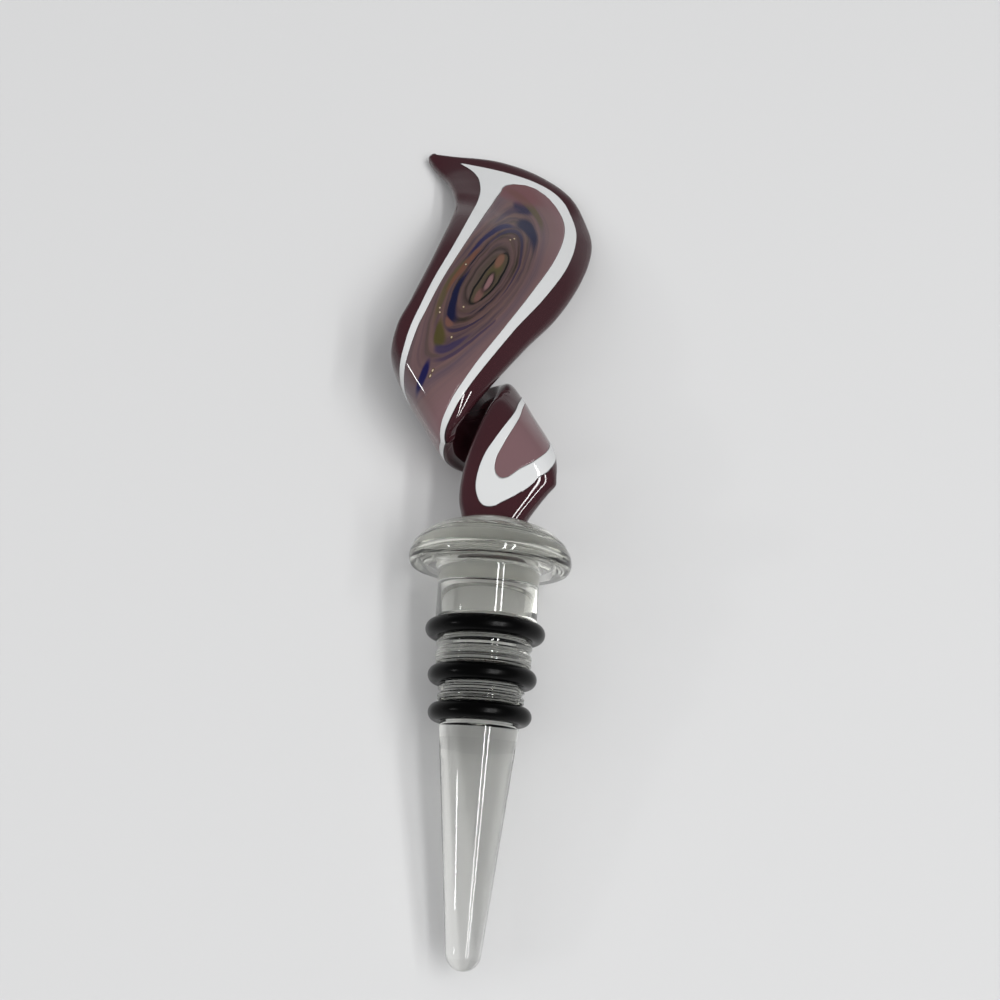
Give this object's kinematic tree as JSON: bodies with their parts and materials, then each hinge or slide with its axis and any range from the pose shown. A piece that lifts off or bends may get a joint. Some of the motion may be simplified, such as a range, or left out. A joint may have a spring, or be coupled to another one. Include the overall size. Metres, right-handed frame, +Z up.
{
  "type": "bottle stopper",
  "caption": "Art glass wine stopper: clear stem with rubber sealing rings and a coiled amethyst ribbon finial with a white loop and a swirl panel.",
  "frame": {"origin": "centre of the bounding box in plan, on the surface the stopper lies on", "axes": "+Z up; +Y along the stopper from the stem's tip to the finial; +X to the right seen from the tip"},
  "size_m": [0.037, 0.1583, 0.0282],
  "materials": {
    "clear_glass": "clear, fire-polished",
    "amethyst_glass": "deep amethyst, fire-polished",
    "white_glass": "opaque white, fire-polished",
    "swirl_glass": "mauve with blue and olive swirls, fire-polished",
    "black_rubber": "satin black"
  },
  "bodies": {
    "root": {"glass_stem": "clear_glass", "glass_finial": "amethyst_glass", "white_loop": "white_glass", "swirl_panel": "swirl_glass", "o_ring_top": "black_rubber", "o_ring_middle": "black_rubber", "o_ring_bottom": "black_rubber"}
  },
  "joints": []
}
